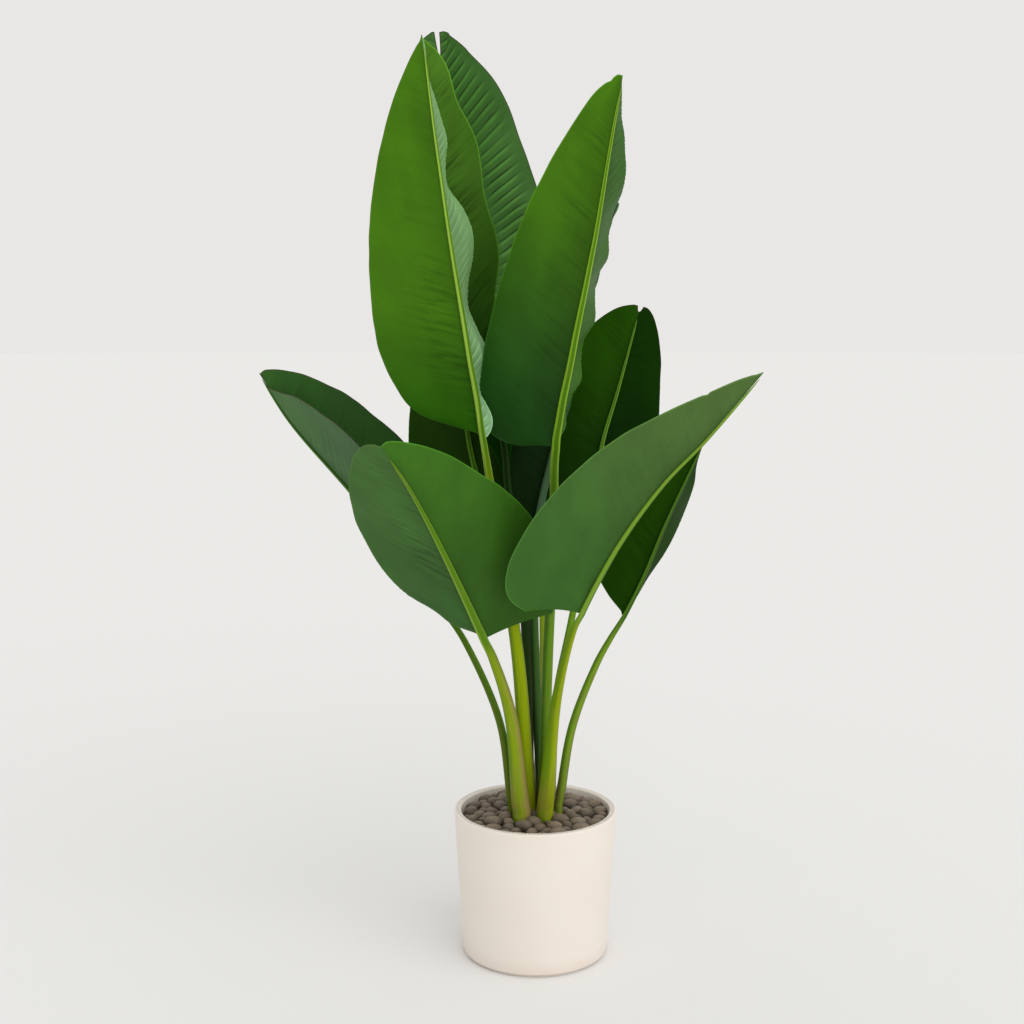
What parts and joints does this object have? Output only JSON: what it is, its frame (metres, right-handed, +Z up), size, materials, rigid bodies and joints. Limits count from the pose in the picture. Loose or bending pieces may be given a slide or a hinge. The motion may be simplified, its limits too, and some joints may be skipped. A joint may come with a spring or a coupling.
{
  "type": "potted banana plant",
  "caption": "Tall potted foliage plant: broad paddle leaves with raised midribs on separate stalks, in a tapered cylindrical planter filled with soil and river pebbles.",
  "frame": {"origin": "centre of the flat underside of the pot's foot", "axes": "+Z up along the pot's axis, -Y towards the viewer of the front, +X to the right"},
  "size_m": [0.7226, 0.5265, 1.4753],
  "materials": {
    "pot_glaze": "satin cream glaze",
    "potting_soil": "loose dark potting mix",
    "river_pebbles": "tumbled, dull",
    "leaf_stalk": "waxy living stalk",
    "leaf_bright": "waxy living leaf, finely ribbed",
    "leaf_mid": "waxy living leaf, finely ribbed",
    "leaf_dark": "waxy living leaf, finely ribbed"
  },
  "bodies": {
    "root": {"pot": "pot_glaze", "soil": "potting_soil", "pebbles": "river_pebbles", "stalk_01": "leaf_stalk", "blade_01": "leaf_bright", "stalk_02": "leaf_stalk", "blade_02": "leaf_mid", "stalk_03": "leaf_stalk", "blade_03": "leaf_dark", "stalk_04": "leaf_stalk", "blade_04": "leaf_mid", "stalk_05": "leaf_stalk", "blade_05": "leaf_dark", "stalk_06": "leaf_stalk", "blade_06": "leaf_dark", "stalk_07": "leaf_stalk", "blade_07": "leaf_dark", "stalk_08": "leaf_stalk", "blade_08": "leaf_dark", "stalk_09": "leaf_stalk", "blade_09": "leaf_mid", "stalk_10": "leaf_stalk", "blade_10": "leaf_mid", "stalk_11": "leaf_stalk", "blade_11": "leaf_dark"}
  },
  "joints": []
}
